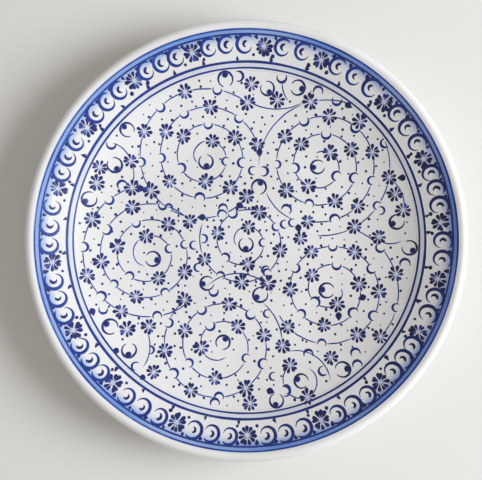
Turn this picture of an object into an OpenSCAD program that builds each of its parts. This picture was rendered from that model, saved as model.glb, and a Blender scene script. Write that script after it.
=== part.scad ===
// Wheel-thrown ceramic plate with a foot ring, a white glaze and a cobalt painting.
// The painting is eight brushed layers of spirals, blossoms and scrolls, each a thin film on the glaze.
// Millimetres, +Z up, origin under the middle of the foot ring.

/* [Plate] */
// Diameter over the rounded lip
plate_d = 300; // [296:1:340]
// Height of the glazed face in the flat middle
floor_h = 12; // [11:0.5:18]
// Radius of the flat middle
floor_r = 62; // [58:1:64]
// Radius of the curve where the wall rises out of the flat middle
curve_r = 130; // [125:1:140]
// Slope of the wall under the rim, in degrees
wall_slope = 24.5; // [22:0.5:26]
// Thickness of the wall, clay and glaze together
wall_t = 7.5; // [6:0.5:9]
// Thickness of the glaze
glaze_t = 0.5; // [0.3:0.1:0.8]

/* [Foot ring] */
// Outer radius of the foot ring
foot_r = 86; // [80:1:92]
// Width of the foot ring's resting face
foot_w = 6; // [5:0.5:9]
// Bevel on each side of the resting face
foot_bevel = 1; // [0.5:0.25:1.5]

/* [Painting] */
// Thickness of the brushed colour
paint_t = 0.12; // [0.08:0.02:0.2]
// Radius of a blossom
blossom_r = 5; // [4:0.1:5.2]
// Petals of a blossom
petals = 8; // [6:1:10]
// Radius of a crescent on a stem
hook_r = 2.8; // [2:0.1:3]
// Radius of the ring around a bud
bud_r = 5.2; // [4.5:0.1:5.4]
// Radius of a scattered dot
dot_r = 0.65; // [0.4:0.05:0.8]
// Width of a stem
stem_w = 0.7; // [0.5:0.1:1]
// Radius of a scroll in the border
scroll_r = 5.3; // [4.5:0.1:5.4]

/* [Hidden] */

round_fn = 96;
arc_step = 3.5;
lip_step = 15;
foot_steps = 4;
degrees_per_radian = 180 / PI;

// The wall in section
lip_r = wall_t / 2;
bend_r = floor_r + curve_r * sin(wall_slope);
bend_z = floor_h + curve_r * (1 - cos(wall_slope));
lip_mid_r = plate_d / 2 - lip_r;
lip_start_r = lip_mid_r - lip_r * sin(wall_slope);
lip_mid_z = bend_z + (lip_start_r - bend_r) * tan(wall_slope) - lip_r * cos(wall_slope);
well_z = floor_h - wall_t;

// The lines and washes, as [inner radius, outer radius], measured in from the rim
rim_line_r = [plate_d / 2 - 8.1, plate_d / 2 - 6.2];
rim_wash_r = [plate_d / 2 - 9.7, plate_d / 2 - 8.1];
band_line_r = [plate_d / 2 - 10.7, plate_d / 2 - 9.7];
ring_outer_r = [plate_d / 2 - 28.6, plate_d / 2 - 26.8];
ring_wash_r = [plate_d / 2 - 30.9, plate_d / 2 - 28.6];
ring_inner_r = [plate_d / 2 - 32.1, plate_d / 2 - 30.9];

// The border between the band line and the outer ring line
border_r = plate_d / 2 - 17.5;
border_blossom_angles = [
    4.5, 24, 44.5, 67, 84.5, 106, 125, 145, 165,
    187, 208, 227.5, 249.5, 270.5, 292.5, 313, 331.5, 348
];
wide_gap = 18;

// Shapes of the brush strokes. Hollows are given as shares of the stroke's own radius
crescent_hollow_shift = 0.36;
crescent_hollow = 0.87;
bud_hollow_shift = 0.08;
bud_hollow = 0.86;
heart_shift = 0.45;
heart_size = 0.42;
scroll_hollow_shift = [0.26, 0.1];
scroll_hollow = 0.84;
petal_depth = 0.1;
comma_size = 0.6;
comma_shift = [0.4, 0.6];
comma_turn = 130;
comma_reach = 1.6;
small_leaf = [1.4, 0.6];
small_leaf_out = 1.5;
small_leaf_turn = 60;
long_leaf = [3.4, 1.3];
drop = [[-1.1, 0], [1.1, 0], [0.2, -2.1]];
tick = [[-0.9, 0], [0.9, 0], [0.7, 1.6], [-0.1, 2]];
line_gap = 0.1;
border_dot_angle = 3;
border_dot_out = 3.6;

// Spacing of the dots, and how clear of the other strokes they stay
turn_gap = 12;
dot_pace = 7;
dot_sway = 1;
dot_gap = 4.5;
fill_pace = 7.5;
fill_sway = 1.5;
fill_gap = 5.5;
fill_stem_gap = 4.5;
edge_clear = 3;
blossom_clear = 1.6;
bud_clear = 1.4;
hook_clear = 1.4;
leaf_clear = 2.6;
long_leaf_clear = 4.2;
blossom_gap = 6;
blossom_turn = 13;

// Stems: length of a swept step, shortest stretch in degrees, and the gaps left at blossoms and crescents
stem_step = 6;
shortest_stretch = 3;
stem_blossom_gap = 0.3;
stem_hook_gap = 0.2;

// Spiral stems that wind inwards counter-clockwise, each as
// [middle x, middle y, start angle, end angle, start radius, end radius, [blossom angles]]
spirals = [
    [-28, 58, 14, 940, 37, 7, [14, 85, 148, 214, 309, 394, 498, 629, 788]],
    [52, 52, 257, 1190, 40, 9, [257, 312, 373, 440, 501, 576, 651, 747, 853, 958, 1134]],
    [-68, -10, 39, 976, 37, 8, [39, 109, 189, 254, 334, 417, 526, 653, 818]],
    [-1, -1, 156, 930, 32, 6, [204, 266, 346, 424, 522, 638, 795]],
    [-18, -73, 128, 1020, 40, 9, [128, 185, 237, 302, 373, 438, 517, 622, 767, 907]],
    [58, -35, 206, 1090, 39, 8, [221, 301, 358, 417, 475, 539, 620, 732, 858, 1019]],
    [38, -97, 126, 420, 13, 10, [126, 290]]
];

// Branches that pass around the spirals and link them, in the same form
branches = [
    [-29, 57, 52, 318, 49, 40, [52, 106, 156, 211, 257, 318]],
    [53, 50, 265, 385, 47, 46, [299, 351]],
    [53, 50, 424, 540, 47, 44, [460]],
    [-66, -10, 87, 309, 49, 42, [87, 106, 149, 199, 243, 309]],
    [59, -36, 317, 429, 45, 46, [317, 375, 429]],
    [2, -52, 40, 150, 21, 36, []],
    [22, 130, 236, 300, 39, 39, []],
    [45, 112, 190, 225, 20, 22, []],
    [45, 45, 200, 250, 33, 33, []],
    [-95, 52, 20, 80, 15, 15, []],
    [-95, 46, -22, 22, 17, 17, []],
    [85, 25, -10, 48, 24, 22, []],
    [100, 12, 230, 300, 15, 15, []],
    [-90, -74, -36, 34, 24, 24, []],
    [-12, -72, 2, 52, 37, 37, []],
    [36, -100, 8, 112, 22, 24, []]
];

// Blossoms apart from the stems, as [x, y]
single_blossoms = [
    [-101, 50], [-80, 55], [-103, 39], [4, 108], [22, 97], [79, 81], [92, 2], [103, 31], [108, 20], [3, -112],
    [-82, -62], [-67, -60], [-63, -91], [58, -81], [25, -73], [38, 1], [15, -30]
];

// Long leaves apart from the stems, as [x, y, direction]
single_leaves = [
    [-31, 16, 0], [-73, 36, 170], [107, 42, 0], [-105, -50, 110], [-89, -77, 60], [-70, -95, 140],
    [17, -104, 160], [71, 92, 145], [80, -40, 20], [-4, 24, 150], [64, -53, 90], [36.5, 8, 100],
    [9.5, 61, 92]
];

// Buds, as [x, y, direction of the heart]; the first seven end the spirals
buds = [
    [-28, 55, 280], [50, 51, 190], [-65, -13, 345], [0, -3, 270], [-16, -71, 55], [56, -35, 170],
    [38, -97, 155],
    [-82, 76, 135], [-91, 52, 300], [-108, 28, 215], [-14, 111, 95], [15, 105, 300], [36, 105, 345],
    [9, 37, 70],
    [104, 12, 205], [112, -6, 320], [-27, -30, 190], [10, -38, 215], [-80, -76, 265], [-93, -60, 145],
    [21, -110, 260], [66, -89, 10]
];

// Crescents apart from the stems, as [x, y, direction of the bulge]
single_crescents = [
    [12, 48, 0], [96, 66, 200], [63, 96, 257], [-93, 66, 260], [-86, 38, 110], [-5, 113, 0], [25, 112, 270],
    [50, 102, 80], [93, 20, 0], [-30, 1, 0],
    [109, -17, 90], [75, -78, 100], [76, -86, 90], [19, -94, 180], [27, -104, 0], [-21, -112, 90],
    [-66, -76, 0],
    [-75, -87, 160], [14, -21, 150], [27, 11, 180], [28, 21, 60], [-16, 22, 90], [43, -79, 90],
    [53, -90, 200],
    [15, -51, 180], [-33, -19, 170], [5, 48.5, 170], [32.5, 12, 180],
    [-36, -3.5, 180], [-22.5, -35.5, 270], [-98, -48, 260]
];

// Angles of the crescents, midway between neighbouring blossoms of a stem
function crescent_angles(stem) = [for (i = [1 : 1 : len(stem[6]) - 1]) (stem[6][i - 1] + stem[6][i]) / 2];

// Angles of the leaves, midway between each blossom and the crescent next to it
function leaf_angles(stem) = [
    for (i = [1 : 1 : len(stem[6]) - 1], part = [0.25, 0.75])
        stem[6][i - 1] + part * (stem[6][i] - stem[6][i - 1])
];

// Radius of a stem at an angle, and its point on the face
function stem_radius(stem, a) = stem[4] + (stem[5] - stem[4]) * (a - stem[2]) / (stem[3] - stem[2]);
function stem_point(stem, a, out = 0) =
    [stem[0], stem[1]] + (stem_radius(stem, a) + out) * [cos(a), sin(a)];

// Height and tilt of the glazed face at a radius
function face_z(r) =
    r < floor_r ? floor_h
    : r < bend_r ? floor_h + curve_r - sqrt(curve_r ^ 2 - (r - floor_r) ^ 2)
    : bend_z + (r - bend_r) * tan(wall_slope);
function face_tilt(r) =
    r < floor_r ? 0
    : r < bend_r ? asin((r - floor_r) / curve_r)
    : wall_slope;

// Section of the plate's skin at a depth under the glaze: face, lip, then the wall's underside to the foot
function curve_point(a, depth) =
    [floor_r + (curve_r + depth) * sin(a), floor_h + curve_r - (curve_r + depth) * cos(a)];
function skin(depth) = concat(
    [[0, floor_h - depth]],
    [for (a = [0 : arc_step : wall_slope + 0.01]) curve_point(a, depth)],
    [for (a = [90 + wall_slope : -lip_step : wall_slope - 90])
        [lip_mid_r, lip_mid_z] + (lip_r - depth) * [cos(a), sin(a)]],
    [for (i = [0 : foot_steps])
        curve_point(wall_slope + (foot_angle(depth) - wall_slope) * i / foot_steps, wall_t - depth)]
);
function foot_angle(depth) = asin((foot_r - floor_r) / (curve_r + wall_t - depth));
function backwards(list) = [for (i = [len(list) - 1 : -1 : 0]) list[i]];

// What the dots stay clear of
field_r = ring_inner_r[0] - edge_clear;
stems = concat(spirals, branches);
blossom_spots = thinned(
    concat([for (stem = stems, a = stem[6]) stem_point(stem, a)], single_blossoms), blossom_gap);
bud_spots = [for (bud = buds) [bud[0], bud[1]]];
crescent_spots = concat(
    [for (stem = stems, a = crescent_angles(stem)) stem_point(stem, a)],
    [for (crescent = single_crescents) [crescent[0], crescent[1]]]
);
leaf_spots = [for (stem = stems, a = leaf_angles(stem)) stem_point(stem, a)];
long_leaf_spots = [for (leaf = single_leaves) [leaf[0], leaf[1]]];

// Dots along the middle of the gap outside each turn of a spiral
function dot_angles(stem) = [
    for (
        a = stem[2], r = stem_radius(stem, a);
        a < stem[3];
        a = a + dot_pace * degrees_per_radian / r, r = stem_radius(stem, a)
    ) a
];
function near(point, spots, reach) = len([for (spot = spots) if (norm(point - spot) < reach) 1]) > 0;
function is_free(point) =
    norm(point) < field_r
    && !near(point, blossom_spots, blossom_r + blossom_clear)
    && !near(point, bud_spots, bud_r + bud_clear)
    && !near(point, crescent_spots, hook_r + hook_clear)
    && !near(point, long_leaf_spots, long_leaf_clear);
dot_spots = [
    for (stem = stems, a = dot_angles(stem))
        let (point = stem_point(stem, a, turn_gap / 2 + dot_sway * sin(a * 37)))
        if (is_free(point) && !near(point, leaf_spots, leaf_clear)) point
];

// Drops each spot that lies closer than gap to an earlier one
function thinned(spots, gap) = [
    for (i = [0 : len(spots) - 1])
        if (len([for (j = [0 : 1 : i - 1]) if (norm(spots[i] - spots[j]) < gap) 1]) == 0) spots[i]
];
channel_dots = thinned(dot_spots, dot_gap);

// Dots that fill what is left of the field, on a loose grid
stem_spots = [for (stem = stems, a = dot_angles(stem)) stem_point(stem, a)];
fill_dots = [
    for (x = [-field_r : fill_pace : field_r], y = [-field_r : fill_pace : field_r])
        let (point = [x + fill_sway * sin(y * 41), y + fill_sway * sin(x * 29)])
        if (is_free(point)
            && !near(point, channel_dots, fill_gap)
            && !near(point, stem_spots, fill_stem_gap)) point
];
dots = concat(channel_dots, fill_dots);

// Border places between neighbouring blossoms
border_count = len(border_blossom_angles);
function border_gap(i) =
    (i + 1 < border_count ? border_blossom_angles[i + 1] : border_blossom_angles[0] + 360)
    - border_blossom_angles[i];
function scroll_count(i) = border_gap(i) > wide_gap ? 3 : 2;
scroll_angles = [
    for (i = [0 : border_count - 1], k = [1 : scroll_count(i)])
        border_blossom_angles[i] + border_gap(i) * k / (scroll_count(i) + 1)
];
between_angles = [
    for (i = [0 : border_count - 1], k = [0 : scroll_count(i)])
        border_blossom_angles[i] + border_gap(i) * (k + 0.5) / (scroll_count(i) + 1)
];

// Puts a flat shape on the face at x, y: its own +Z is the face's normal, and reach is its half width
module on_face(x, y, turn = 0, reach = 0) {
    r = norm([x, y]);
    around = atan2(y, x);
    rise = r + reach > floor_r ? reach ^ 2 / (2 * curve_r) : 0;
    translate([x, y, face_z(r)])
        rotate([0, 0, around]) rotate([0, -face_tilt(r), 0])
            translate([0, 0, rise]) rotate([0, 0, turn - around])
                linear_extrude(paint_t) children();
}

// Puts a flat shape in the border at an angle: its own +X runs clockwise and its +Y outwards
module in_border(angle, r, reach) {
    on_face(r * cos(angle), r * sin(angle), angle - 90, reach) children();
}

// A line or a wash all the way round, between two radii
module painted_ring(radii) {
    lift = paint_t * [-sin(wall_slope), cos(wall_slope)];
    inner = [radii[0], face_z(radii[0])];
    outer = [radii[1], face_z(radii[1])];
    rotate_extrude($fn = round_fn) polygon([inner, outer, outer + lift, inner + lift]);
}

module blossom_shape() {
    polygon([
        for (i = [0 : 4 * petals - 1])
            let (a = 90 * i / petals)
            blossom_r * (1 - petal_depth + petal_depth * cos(petals * a)) * [cos(a), sin(a)]
    ]);
}

// Bulges towards +X
module crescent_shape() {
    difference() {
        circle(r = hook_r, $fn = round_fn);
        translate([-crescent_hollow_shift * hook_r, 0]) circle(r = crescent_hollow * hook_r, $fn = round_fn);
    }
}

// Pointed at both ends, along X
module leaf_shape(half_length, half_width) {
    arc_r = (half_length ^ 2 + half_width ^ 2) / (2 * half_width);
    intersection() {
        translate([0, half_width - arc_r]) circle(r = arc_r, $fn = round_fn);
        translate([0, arc_r - half_width]) circle(r = arc_r, $fn = round_fn);
    }
}

// A ring that is thickest beside its heart, which lies towards +X
module bud_shape() {
    difference() {
        circle(r = bud_r, $fn = round_fn);
        translate([-bud_hollow_shift * bud_r, 0]) circle(r = bud_hollow * bud_r, $fn = round_fn);
    }
    translate([heart_shift * bud_r, 0]) circle(r = heart_size * bud_r, $fn = round_fn);
}

// Open towards +X
module scroll_shape() {
    difference() {
        circle(r = scroll_r, $fn = round_fn);
        translate(scroll_hollow_shift * scroll_r) circle(r = scroll_hollow * scroll_r, $fn = round_fn);
    }
}

// A stretch of stem between two angles, swept over the face
module stem_stretch(stem, from, to) {
    steps = max(2, ceil((to - from) * stem_radius(stem, from) / degrees_per_radian / stem_step));
    function angle_at(i) = from + (to - from) * i / steps;
    function edge(i, side) = stem_point(stem, angle_at(i), side * stem_w / 2);
    function on_top(p, lift) = [p[0], p[1], face_z(norm(p)) + lift];
    points = [
        for (i = [0 : steps])
            each [
                on_top(edge(i, -1), 0), on_top(edge(i, 1), 0),
                on_top(edge(i, 1), paint_t), on_top(edge(i, -1), paint_t)
            ]
    ];
    sides = [
        for (i = [0 : steps - 1], k = [0 : 3])
            let (a = 4 * i + k, b = 4 * i + (k + 1) % 4)
            each [[a, b, b + 4], [a, b + 4, a + 4]]
    ];
    last = 4 * steps;
    ends = [[2, 1, 0], [3, 2, 0], [last, last + 1, last + 2], [last, last + 2, last + 3]];
    polyhedron(points, concat(sides, ends));
}

// A stem in stretches that stop short of its blossoms and crescents
module stem_line(stem) {
    stops = concat(
        [[stem[2], 0]],
        [for (a = stem[6]) [a, blossom_r + stem_blossom_gap]],
        [for (a = crescent_angles(stem)) [a, hook_r + stem_hook_gap]],
        [[stem[3], 0]]
    );
    for (stop = stops) {
        later = [for (other = stops) if (other[0] > stop[0]) other];
        if (len(later) > 0) {
            next_a = min([for (other = later) other[0]]);
            next = [for (other = later) if (other[0] == next_a) other][0];
            from = stop[0] + stop[1] * degrees_per_radian / stem_radius(stem, stop[0]);
            to = next[0] - next[1] * degrees_per_radian / stem_radius(stem, next[0]);
            if (to - from > shortest_stretch) stem_stretch(stem, from, to);
        }
    }
}

module clay_body() {
    outer_foot = [[foot_r, foot_bevel], [foot_r - foot_bevel, 0]];
    inner_r = foot_r - foot_w - 2 * foot_bevel;
    inner_foot = [[inner_r + foot_bevel, 0], [inner_r, foot_bevel], [inner_r, well_z + glaze_t]];
    color("tan") rotate_extrude($fn = round_fn)
        polygon(concat(skin(glaze_t), outer_foot, inner_foot, [[0, well_z + glaze_t]]));
}

module face_glaze() {
    color("white") rotate_extrude($fn = round_fn)
        polygon(concat(skin(0), backwards(skin(glaze_t))));
}

module foot_well_glaze() {
    color("whitesmoke") translate([0, 0, well_z])
        cylinder(r = foot_r - foot_w - 2 * foot_bevel, h = glaze_t, $fn = round_fn);
}

module rim_line() { color("royalblue") painted_ring(rim_line_r); }
module rim_wash() { color("lightsteelblue") painted_ring(rim_wash_r); }
module band_line() { color("royalblue") painted_ring(band_line_r); }
module ring_line_outer() { color("midnightblue") painted_ring(ring_outer_r); }
module ring_wash() { color("lavender") painted_ring(ring_wash_r); }
module ring_line_inner() { color("darkslateblue") painted_ring(ring_inner_r); }

module border_scrolls() {
    color("mediumblue")
        for (angle = scroll_angles) in_border(angle, border_r, scroll_r) scroll_shape();
}

module border_commas() {
    color("navy")
        for (angle = scroll_angles)
            in_border(angle, border_r, comma_reach)
                translate(comma_shift) rotate(comma_turn) scale(comma_size) crescent_shape();
}

module border_blossoms() {
    color("navy")
        for (angle = border_blossom_angles) in_border(angle, border_r, blossom_r) blossom_shape();
}

// Small triangles that hang from the band line between the scrolls
module border_drops() {
    color("darkblue")
        for (angle = between_angles) in_border(angle, band_line_r[0] - line_gap, drop[1][0]) polygon(drop);
}

// Small ticks that stand on the outer ring line
module border_ticks() {
    color("darkblue")
        for (i = [0 : 2 : len(between_angles) - 1])
            in_border(between_angles[i], ring_outer_r[1] + line_gap, tick[1][0]) polygon(tick);
}

module border_dots() {
    color("navy")
        for (angle = border_blossom_angles, side = [-border_dot_angle, border_dot_angle])
            in_border(angle + side, ring_outer_r[1] + border_dot_out, dot_r)
                circle(r = dot_r, $fn = round_fn);
}

module spiral_stems() {
    color("slateblue") for (stem = spirals) stem_line(stem);
}

module branch_stems() {
    color("slateblue") for (stem = branches) stem_line(stem);
}

module field_blossoms() {
    color("navy")
        for (i = [0 : len(blossom_spots) - 1])
            on_face(blossom_spots[i][0], blossom_spots[i][1], blossom_turn * i, blossom_r) blossom_shape();
}

// Crescents bulge towards the middle of their own spiral
module field_crescents() {
    color("darkblue") {
        for (stem = stems, a = crescent_angles(stem)) {
            spot = stem_point(stem, a);
            on_face(spot[0], spot[1], a + 180, hook_r) crescent_shape();
        }
        for (crescent = single_crescents)
            on_face(crescent[0], crescent[1], crescent[2], hook_r) crescent_shape();
    }
}

// Small leaves on the outer side of the stems, and the long ones
module field_leaves() {
    color("darkblue") {
        for (stem = stems, a = leaf_angles(stem)) {
            spot = stem_point(stem, a, small_leaf_out);
            on_face(spot[0], spot[1], a + small_leaf_turn, small_leaf[0])
                leaf_shape(small_leaf[0], small_leaf[1]);
        }
        for (leaf = single_leaves)
            on_face(leaf[0], leaf[1], leaf[2], long_leaf[0]) leaf_shape(long_leaf[0], long_leaf[1]);
    }
}

module field_buds() {
    color("midnightblue")
        for (bud = buds) on_face(bud[0], bud[1], bud[2], bud_r) bud_shape();
}

module field_dots() {
    color("navy")
        for (spot = dots) on_face(spot[0], spot[1], 0, dot_r) circle(r = dot_r, $fn = round_fn);
}

clay_body();
face_glaze();
foot_well_glaze();
rim_line();
rim_wash();
band_line();
ring_line_outer();
ring_wash();
ring_line_inner();
border_scrolls();
border_commas();
border_blossoms();
border_drops();
border_ticks();
border_dots();
spiral_stems();
branch_stems();
field_blossoms();
field_crescents();
field_leaves();
field_buds();
field_dots();
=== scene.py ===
import math
import random

import bmesh
import bpy
from mathutils import Matrix, Vector


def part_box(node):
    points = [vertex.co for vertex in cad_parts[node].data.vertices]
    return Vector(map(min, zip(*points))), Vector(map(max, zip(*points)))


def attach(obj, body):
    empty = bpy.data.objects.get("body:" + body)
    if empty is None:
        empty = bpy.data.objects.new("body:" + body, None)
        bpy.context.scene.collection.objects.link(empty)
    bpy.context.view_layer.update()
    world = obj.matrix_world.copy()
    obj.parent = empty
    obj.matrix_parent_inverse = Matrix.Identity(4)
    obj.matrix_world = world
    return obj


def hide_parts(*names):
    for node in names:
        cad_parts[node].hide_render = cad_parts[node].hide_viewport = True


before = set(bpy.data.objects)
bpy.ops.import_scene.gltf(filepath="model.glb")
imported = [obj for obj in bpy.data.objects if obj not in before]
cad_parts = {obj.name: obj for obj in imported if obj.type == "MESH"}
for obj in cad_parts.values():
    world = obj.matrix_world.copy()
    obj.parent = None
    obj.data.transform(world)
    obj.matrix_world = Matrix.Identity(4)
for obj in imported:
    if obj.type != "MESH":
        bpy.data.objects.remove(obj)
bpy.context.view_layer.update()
mm = 0.001


# nodes from plain expressions

class Value:
    def __init__(self, tree, socket):
        self.tree = tree
        self.socket = socket

    def __getitem__(self, name):  # another output of the same node
        return Value(self.tree, self.socket.node.outputs[name])

    def maths(self, operation, *values):
        return self.tree.add("ShaderNodeMath", {"operation": operation}, list(values))

    def __add__(self, other):
        return self.maths("ADD", self, other)

    def __radd__(self, other):
        return self.maths("ADD", other, self)

    def __sub__(self, other):
        return self.maths("SUBTRACT", self, other)

    def __rsub__(self, other):
        return self.maths("SUBTRACT", other, self)

    def __mul__(self, other):
        return self.maths("MULTIPLY", self, other)

    def __rmul__(self, other):
        return self.maths("MULTIPLY", other, self)

    def __truediv__(self, other):
        return self.maths("DIVIDE", self, other)

    def __pow__(self, other):
        return self.maths("POWER", self, other)

    def low(self, other):
        return self.maths("MINIMUM", self, other)

    def high(self, other):
        return self.maths("MAXIMUM", self, other)

    def size(self):
        return self.maths("ABSOLUTE", self)

    def sine(self):
        return self.maths("SINE", self)

    def root(self):
        return self.maths("SQRT", self)

    def share(self, start, end):  # 0 at start, 1 at end, smooth between
        return self.tree.add(
            "ShaderNodeMapRange", {"interpolation_type": "SMOOTHSTEP"},
            {"Value": self, "From Min": start, "From Max": end})


class Tree:
    def __init__(self, nodeTree):
        self.nodes = nodeTree.nodes
        self.links = nodeTree.links

    def add(self, kind, settings=None, values=(), output=0):
        node = self.nodes.new(kind)
        for name, setting in (settings or {}).items():
            if name == "stops":
                self.setStops(node.color_ramp, setting)
            else:
                setattr(node, name, setting)
        pairs = values.items() if isinstance(values, dict) else enumerate(values)
        for key, value in pairs:
            if isinstance(value, Value):
                self.links.new(value.socket, node.inputs[key])
            else:
                node.inputs[key].default_value = value
        return Value(self, node.outputs[output]) if node.outputs else node

    def setStops(self, ramp, stops):
        while len(ramp.elements) < len(stops):
            ramp.elements.new(0.5)
        for element, (place, colour) in zip(ramp.elements, stops):
            element.position = place
            element.color = colour

    def mix(self, share, first, second):
        return self.add(
            "ShaderNodeMix", {"data_type": "RGBA"},
            {0: share, 6: first, 7: second}, output=2)

    def join(self, *parts):
        node = self.nodes.new("GeometryNodeJoinGeometry")
        for part in parts:
            self.links.new(part.socket, node.inputs[0])
        return Value(self, node.outputs[0])


def srgb(red, green, blue):
    return tuple(
        c / 12.92 if c <= 0.04045 else ((c + 0.055) / 1.055) ** 2.4
        for c in (red / 255, green / 255, blue / 255)) + (1.0,)


# the plate's section, in millimetres

plate = {
    "rimRadius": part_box("face_glaze")[1].x / mm,
    "floorHeight": 12.0,
    "floorRadius": 62.0,
    "curveRadius": 130.0,
    "wallSlope": math.radians(24.5),
    "wallThickness": 7.5,
    "glazeThickness": 0.5,
    "footRadius": 86.0,
    "footWidth": 6.0,
    "footBevel": 1.0,
    "turns": 360,  # facets around
    "faceStep": 1.5,
    "lipSteps": 18,
    "underSteps": 16,
    "warp": 0.35,  # how far the thrown rim strays from flat
    "warpGrain": 9.0,
}
lipRadius = plate["wallThickness"] / 2
slope = plate["wallSlope"]
bendRadius = plate["floorRadius"] + plate["curveRadius"] * math.sin(slope)
bendHeight = plate["floorHeight"] + plate["curveRadius"] * (1 - math.cos(slope))
lipMiddle = plate["rimRadius"] - lipRadius
lipStart = lipMiddle - lipRadius * math.sin(slope)
lipHeight = bendHeight + (lipStart - bendRadius) * math.tan(slope) - lipRadius * math.cos(slope)
wellHeight = plate["floorHeight"] - plate["wallThickness"]


def faceHeight(radius):
    if radius < plate["floorRadius"]:
        return plate["floorHeight"]
    if radius > bendRadius:
        return bendHeight + (radius - bendRadius) * math.tan(slope)
    out = radius - plate["floorRadius"]
    return plate["floorHeight"] + plate["curveRadius"] - math.sqrt(plate["curveRadius"] ** 2 - out ** 2)


def underPoint(angle, depth):
    reach = plate["curveRadius"] + plate["wallThickness"] - depth
    middle = plate["floorHeight"] + plate["curveRadius"]
    return (plate["floorRadius"] + reach * math.sin(angle), middle - reach * math.cos(angle))


def skin(depth):  # radius and height from the middle of the face, over the lip, to the foot
    points = []
    count = math.ceil((lipStart - depth * math.sin(slope)) / plate["faceStep"])
    for i in range(count):
        radius = i * plate["faceStep"]
        out = max(radius - plate["floorRadius"], 0)
        tilt = math.asin(min(out / plate["curveRadius"], math.sin(slope)))
        points.append((radius + depth * math.sin(tilt), faceHeight(radius) - depth * math.cos(tilt)))
    for step in range(plate["lipSteps"] + 1):
        angle = math.pi / 2 + slope - math.pi * step / plate["lipSteps"]
        points.append((
            lipMiddle + (lipRadius - depth) * math.cos(angle),
            lipHeight + (lipRadius - depth) * math.sin(angle)))
    reach = plate["curveRadius"] + plate["wallThickness"] - depth
    footAngle = math.asin((plate["footRadius"] - plate["floorRadius"]) / reach)
    under = plate["underSteps"]
    return points + [
        underPoint(slope + (footAngle - slope) * i / under, depth) for i in range(under + 1)]


# Geometry Nodes shared by all the pieces

def newTree(name, inputs):
    nodeTree = bpy.data.node_groups.new(name, "GeometryNodeTree")
    nodeTree.interface.new_socket("Geometry", in_out="INPUT", socket_type="NodeSocketGeometry")
    for label, value in inputs.items():
        kind = "NodeSocketInt" if isinstance(value, int) else "NodeSocketFloat"
        if isinstance(value, bpy.types.Material):
            kind = "NodeSocketMaterial"
        nodeTree.interface.new_socket(label, in_out="INPUT", socket_type=kind)
    nodeTree.interface.new_socket("Geometry", in_out="OUTPUT", socket_type="NodeSocketGeometry")
    tree = Tree(nodeTree)
    return nodeTree, tree, tree.add("NodeGroupInput")


def finishTree(tree, geometry, material):
    solid = tree.add("GeometryNodeRealizeInstances", {}, {"Geometry": geometry})
    smooth = tree.add("GeometryNodeSetShadeSmooth", {}, {"Geometry": solid})
    painted = tree.add("GeometryNodeSetMaterial", {}, {"Geometry": smooth, "Material": material})
    tree.add("NodeGroupOutput", {}, [painted])


helperAttributes = ("across", "tone", "load", "turn", "size", "half", "stationRadius", "stationHeight")


def plainMesh(piece, nodeTree, inputs):
    modifier = piece.modifiers.new("maker", "NODES")
    modifier.node_group = nodeTree
    names = {item.name: item.identifier for item in nodeTree.interface.items_tree
             if item.in_out == "INPUT"}
    for label, value in inputs.items():
        modifier[names[label]] = value
    graph = bpy.context.evaluated_depsgraph_get()
    mesh = bpy.data.meshes.new_from_object(
        piece.evaluated_get(graph), preserve_all_data_layers=True, depsgraph=graph)
    piece.modifiers.clear()
    old = piece.data
    piece.data = mesh
    bpy.data.meshes.remove(old)
    mesh.name = piece.name
    shell = bmesh.new()
    shell.from_mesh(mesh)
    bmesh.ops.recalc_face_normals(shell, faces=shell.faces)
    shell.to_mesh(mesh)
    shell.free()
    for label in [a.name for a in mesh.attributes if a.name in helperAttributes]:
        mesh.attributes.remove(mesh.attributes[label])
    print(piece.name, len(mesh.polygons), "faces")


def newPiece(name, points, edges=(), **values):
    mesh = bpy.data.meshes.new(name)
    mesh.from_pydata([(x * mm, y * mm, z * mm) for x, y, z in points], list(edges), [])
    for label, numbers in values.items():
        mesh.attributes.new(label, "FLOAT", "POINT").data.foreach_set("value", numbers)
    piece = bpy.data.objects.new(name, mesh)
    bpy.context.scene.collection.objects.link(piece)
    return piece


def named(tree, label):
    return tree.add("GeometryNodeInputNamedAttribute", {"data_type": "FLOAT"}, {"Name": label})


def store(tree, geometry, label, value):
    return tree.add(
        "GeometryNodeStoreNamedAttribute", {"data_type": "FLOAT", "domain": "POINT"},
        {"Geometry": geometry, "Name": label, "Value": value})


def split(tree, spot):
    parts = tree.add("ShaderNodeSeparateXYZ", {}, [spot])
    return parts["X"], parts["Y"], parts["Z"]


def place(tree):
    return split(tree, tree.add("GeometryNodeInputPosition"))


def grain(tree, spot, scale, detail=2.0):
    return tree.add("ShaderNodeTexNoise", {}, {"Vector": spot, "Scale": scale, "Detail": detail})


def moved(tree, geometry, x, y, z):
    spot = tree.add("ShaderNodeCombineXYZ", {}, [x, y, z])
    return tree.add("GeometryNodeSetPosition", {}, {"Geometry": geometry, "Position": spot})


def warpHeight(tree, x, y, radius):
    spot = tree.add("ShaderNodeCombineXYZ", {}, [x, y, 0.0])
    reach = radius.share(plate["footRadius"] * mm, plate["rimRadius"] * mm)
    return (grain(tree, spot, plate["warpGrain"], 1.0) - 0.5) * reach * (2 * plate["warp"] * mm)


brush = {
    "sides": 8,
    "film": 0.05,  # height of a stroke, as a share of its half width
    "washSides": 16,
    "washFilm": 0.008,
    "tipGap": 0.004,  # points closer than this become one where a stroke ends
    "edgeFade": 0.35,
    "evenLoad": 0.94,
    "sideLoad": 0.16,  # one side of the brush carries more colour
    "tremorGrain": 220.0,
}


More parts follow.
